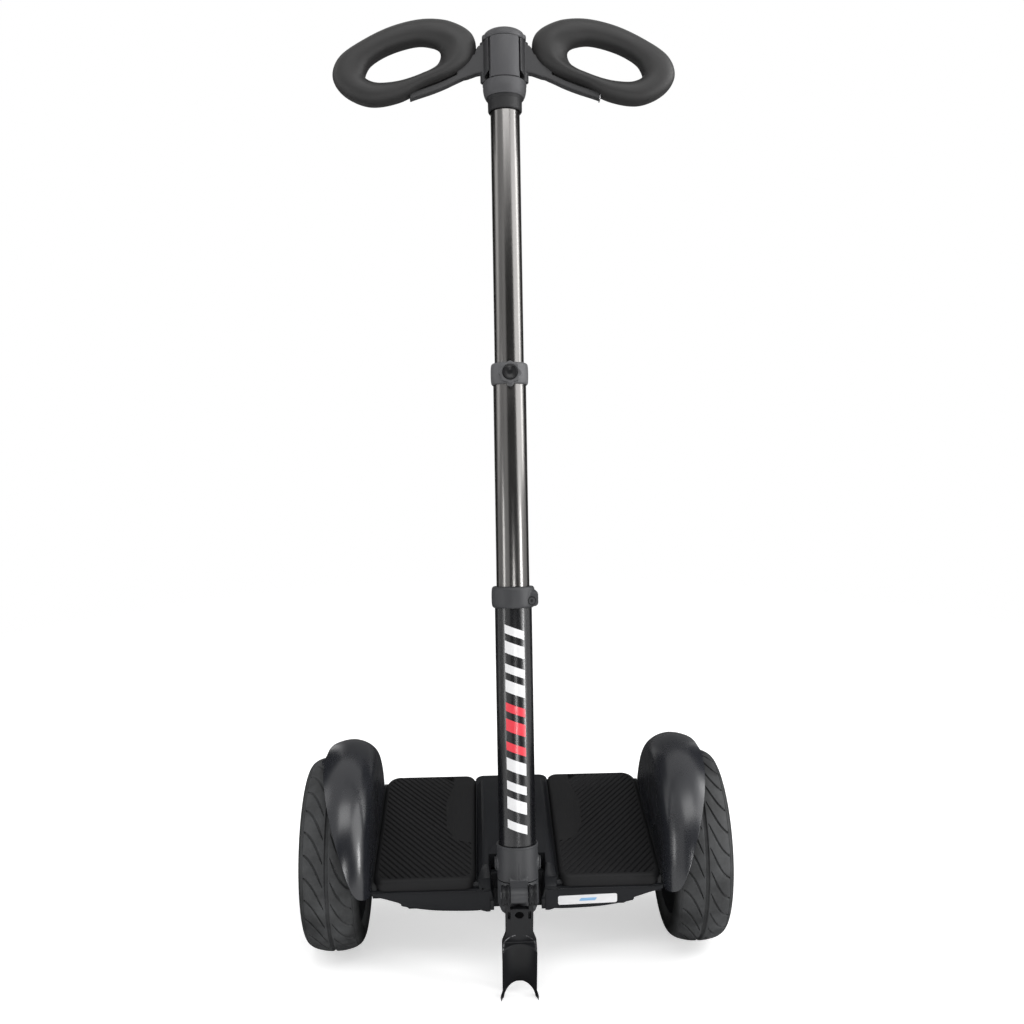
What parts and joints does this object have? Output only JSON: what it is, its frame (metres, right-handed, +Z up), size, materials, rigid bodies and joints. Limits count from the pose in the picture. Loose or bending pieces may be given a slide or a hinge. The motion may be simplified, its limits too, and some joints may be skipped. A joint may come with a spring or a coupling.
{
  "type": "self balancing personal transporter",
  "caption": "Wheeled deck with foot mats and fenders, a leaning telescopic column with folding foam ring grips, and a fold-down parking stand.",
  "frame": {"origin": "on the floor under the middle of the outside box", "axes": "+Z up, the front faces -Y, the right-hand wheel of the picture is at +X"},
  "size_m": [0.548, 0.3124, 1.1934],
  "materials": {
    "tyre": "moulded black rubber",
    "hub": "dark grey powder coat",
    "casting": "dark grey powder coat",
    "shell": "fine grained black",
    "fender": "satin charcoal",
    "rubber": "soft black rubber",
    "lower_tube": "gloss black",
    "tube": "dark grey anodised gloss",
    "plastic": "textured dark grey",
    "gloss": "gloss black",
    "foam": "soft closed-cell foam",
    "steel": "plain steel",
    "lamp": "dark red lens",
    "board": "circuit board green",
    "cell": "blue shrink film"
  },
  "bodies": {
    "chassis": {"hull_lower": "shell", "deck_shell": "shell", "tunnel_cover": "shell", "foot_mat_left": "rubber", "foot_mat_right": "rubber", "front_bumper_left": "shell", "front_bumper_right": "shell", "tail_lamp_left": "lamp", "tail_lamp_right": "lamp", "charge_port_cap": "rubber", "fender_left": "fender", "fender_right": "fender", "axle_clamp_left": "casting", "axle_clamp_right": "casting", "battery_pack": "cell", "control_board": "board", "steer_bearing_front": "casting", "steer_bearing_rear": "casting", "lean_stop_left": "rubber", "lean_stop_right": "rubber", "axle_left": "steel", "axle_right": "steel"},
    "wheel_left": {"tyre_left": "tyre", "wheel_hub_left": "hub", "hub_cover_left": "hub"},
    "wheel_right": {"tyre_right": "tyre", "wheel_hub_right": "hub", "hub_cover_right": "hub"},
    "column": {"steer_shaft": "steel", "steer_lever": "casting", "stem_socket": "casting", "stand_collar": "casting", "collar_bolt_left": "casting", "collar_bolt_right": "casting", "stand_pin": "steel", "tube_lower": "lower_tube", "collar_lower": "plastic", "clamp_screw": "steel"},
    "stand": {"stand_leg": "shell"},
    "middle": {"tube_middle": "tube", "collar_middle": "plastic"},
    "button": {"release_button": "gloss"},
    "upper": {"tube_upper": "tube", "head_sleeve": "gloss", "head_body": "plastic", "head_cover": "plastic", "head_cap": "plastic", "hinge_pin_left": "steel", "hinge_pin_right": "steel"},
    "grip_left": {"grip_arm_left": "plastic", "grip_foam_left": "foam"},
    "grip_right": {"grip_arm_right": "plastic", "grip_foam_right": "foam"}
  },
  "joints": [
    {"name": "wheel_right_spin", "type": "hinge", "parent": "chassis", "child": "wheel_right", "pos_m": [0.237, 0.01274, 0.12452], "axis": [1, 0, 0], "continuous": true},
    {"name": "wheel_left_spin", "type": "hinge", "parent": "chassis", "child": "wheel_left", "pos_m": [-0.237, 0.01274, 0.12452], "axis": [1, 0, 0], "continuous": true},
    {"name": "column_lean", "type": "hinge", "parent": "chassis", "child": "column", "pos_m": [0, 0.01274, 0.12452], "axis": [0, 0.9945, 0.1045], "range_deg": [-10, 10], "stiffness_Nm_per_rad": 80},
    {"name": "stand_swing", "type": "hinge", "parent": "column", "child": "stand", "pos_m": [0, -0.14405, 0.14625], "axis": [1, 0, 0], "range_deg": [-205, 0]},
    {"name": "middle_slide", "type": "slide", "parent": "column", "child": "middle", "axis": [0, 0.2079, 0.9781], "range_m": [-0.24, 0]},
    {"name": "upper_slide", "type": "slide", "parent": "middle", "child": "upper", "axis": [0, 0.2079, 0.9781], "range_m": [-0.3, 0]},
    {"name": "button_press", "type": "slide", "parent": "middle", "child": "button", "axis": [0, 0.9781, -0.2079], "range_m": [0, 0.003], "stiffness_N_per_m": 600},
    {"name": "grip_right_fold", "type": "hinge", "parent": "upper", "child": "grip_right", "pos_m": [0.0245, 0.10407, 1.14039], "axis": [0, 0.2079, 0.9781], "range_deg": [0, 75]},
    {"name": "grip_left_fold", "type": "hinge", "parent": "upper", "child": "grip_left", "pos_m": [-0.0245, 0.10407, 1.14039], "axis": [0, 0.2079, 0.9781], "range_deg": [-75, 0]}
  ]
}
